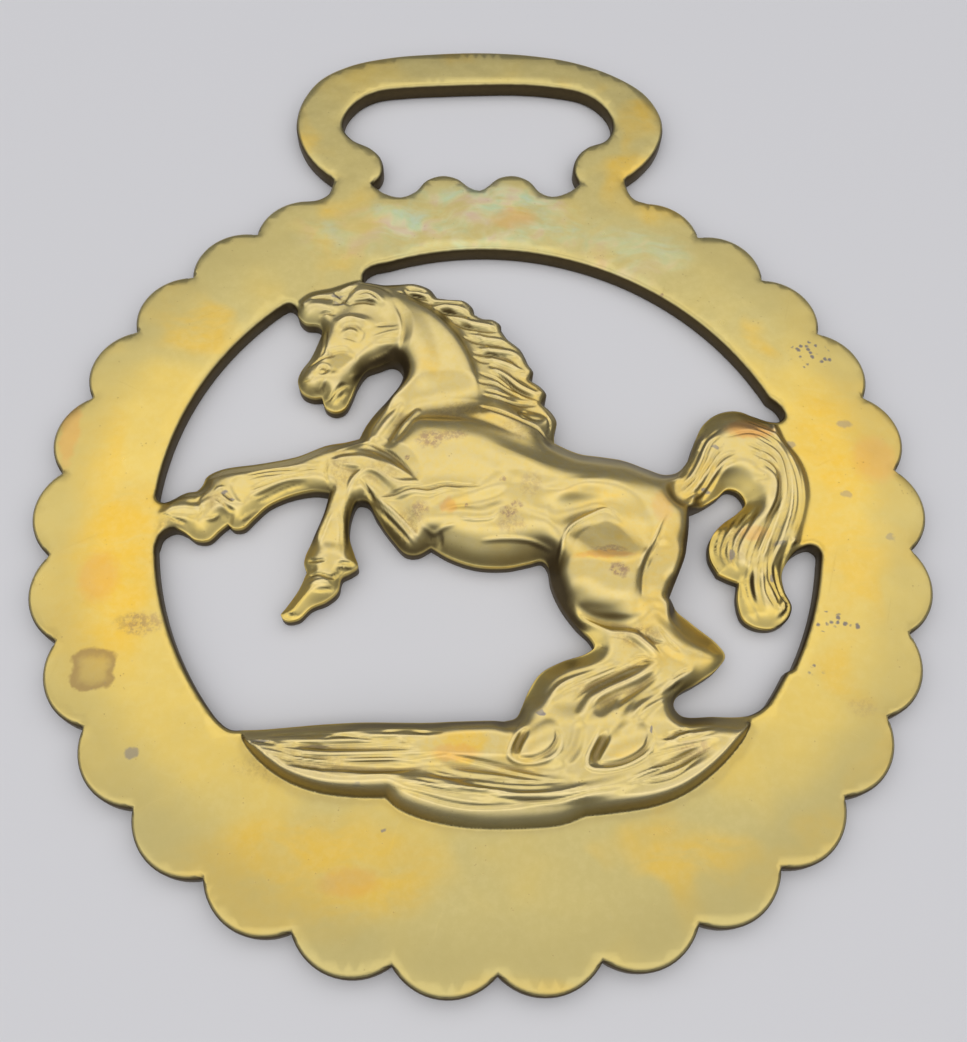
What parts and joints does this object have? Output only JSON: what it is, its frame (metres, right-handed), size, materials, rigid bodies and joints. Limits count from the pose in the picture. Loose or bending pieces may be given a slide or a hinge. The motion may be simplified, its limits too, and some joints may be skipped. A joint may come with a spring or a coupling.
{
  "type": "horse brass",
  "caption": "Flat openwork harness ornament: a scalloped round rim with a strap hanger holds a rearing horse in relief over a mound of ground.",
  "frame": {"origin": "centre of the round rim, on the flat back face", "axes": "+Z out of the face, towards the viewer of the horse; +Y up the ornament, towards the strap hanger; +X to the viewer's right, where the horse's tail is"},
  "size_m": [0.0754, 0.0909, 0.0043],
  "materials": {
    "brass": "polished, worn and lightly tarnished"
  },
  "bodies": {
    "root": {"horse_brass": "brass"}
  },
  "joints": []
}
